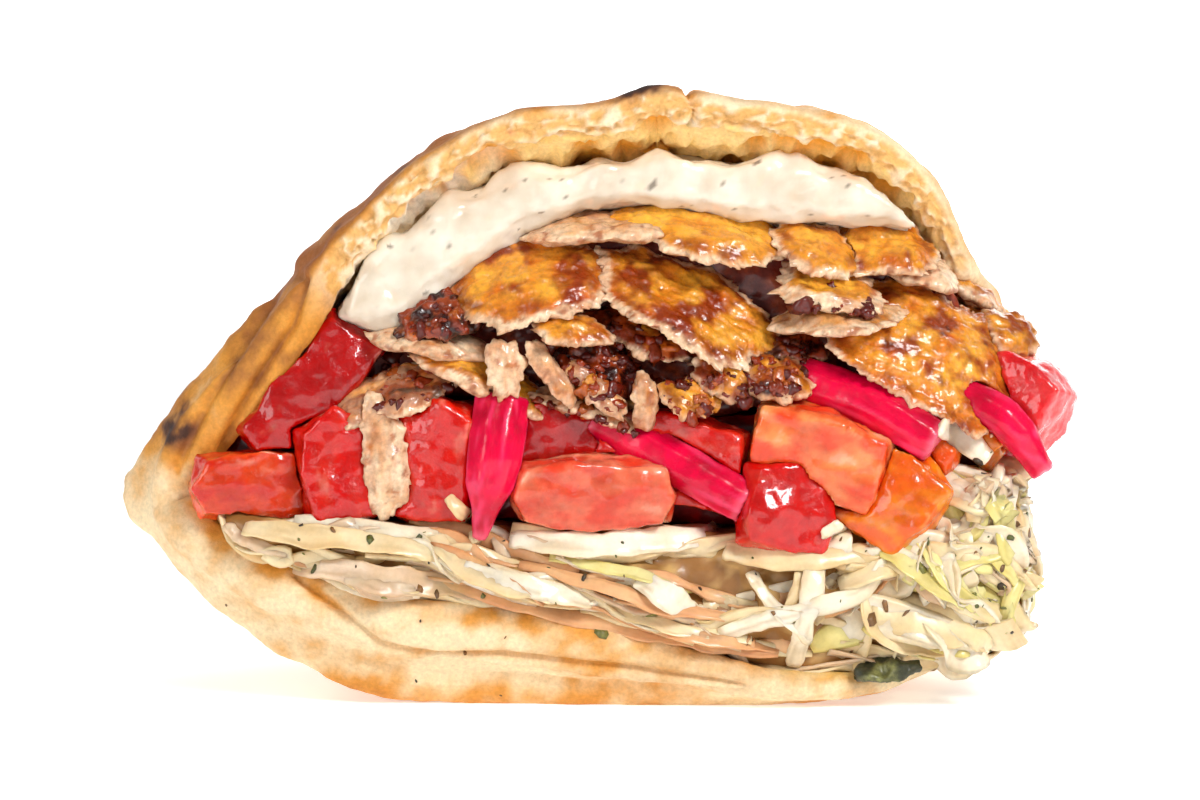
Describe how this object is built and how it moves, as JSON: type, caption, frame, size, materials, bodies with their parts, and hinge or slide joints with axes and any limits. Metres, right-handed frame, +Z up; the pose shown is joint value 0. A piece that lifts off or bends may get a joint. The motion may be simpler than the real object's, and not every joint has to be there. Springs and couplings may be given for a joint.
{
  "type": "filled chicken pita",
  "caption": "Pita bread pocket, open at the front and one side, packed with cabbage slaw, diced tomato, pickled turnip sticks, sliced roast chicken and garlic sauce.",
  "frame": {"origin": "on the resting surface, at the middle of the flat spot under the pocket", "axes": "+X along the mouth to the open side on the viewer's right, +Y into the pocket to its back seam, +Z up"},
  "size_m": [0.195, 0.1131, 0.1241],
  "materials": {
    "bread": "baked flatbread, matt, golden with pale and charred patches",
    "sauce": "off-white garlic sauce, glossy",
    "slaw": "shredded cabbage, wet and translucent",
    "chicken": "roast chicken, oily, amber with dark crust and pale torn edges",
    "tomato": "diced tomato, wet and translucent",
    "pickle": "pickled turnip, bright pink and wet",
    "herb": "dark wet herb leaf"
  },
  "bodies": {
    "root": {"bread": "bread", "sauce": "sauce", "slaw": "slaw", "herb_leaf": "herb", "chicken_bed": "chicken", "chicken_big_right": "chicken", "chicken_brown_left": "chicken", "chicken_crust_bit": "chicken", "chicken_crust_chunk": "chicken", "chicken_curled_right": "chicken", "chicken_dark_left": "chicken", "chicken_dark_middle": "chicken", "chicken_dark_right": "chicken", "chicken_flake_front": "chicken", "chicken_flake_right": "chicken", "chicken_flake_yellow": "chicken", "chicken_fringe": "chicken", "chicken_left": "chicken", "chicken_long_left": "chicken", "chicken_long_middle": "chicken", "chicken_middle": "chicken", "chicken_middle_low": "chicken", "chicken_pale_left": "chicken", "chicken_pale_right": "chicken", "chicken_shred_left": "chicken", "chicken_shred_middle": "chicken", "chicken_shred_pale": "chicken", "chicken_shred_upright": "chicken", "chicken_side_high": "chicken", "chicken_side_low": "chicken", "chicken_side_middle": "chicken", "chicken_strip_hanging": "chicken", "chicken_top": "chicken", "chicken_top_pale": "chicken", "chicken_top_right": "chicken", "chicken_wedge_right": "chicken", "pickle_centre": "pickle", "pickle_far_right": "pickle", "pickle_right": "pickle", "pickle_upright": "pickle", "tomato_bed": "tomato", "tomato_behind_strip": "tomato", "tomato_corner": "tomato", "tomato_dark": "tomato", "tomato_far_right": "tomato", "tomato_front": "tomato", "tomato_gel": "tomato", "tomato_middle": "tomato", "tomato_orange": "tomato", "tomato_seeded": "tomato", "tomato_shiny": "tomato", "tomato_side_back": "tomato", "tomato_side_front": "tomato", "tomato_skin": "tomato", "tomato_slope": "tomato", "tomato_under_crust": "tomato"}
  },
  "joints": []
}
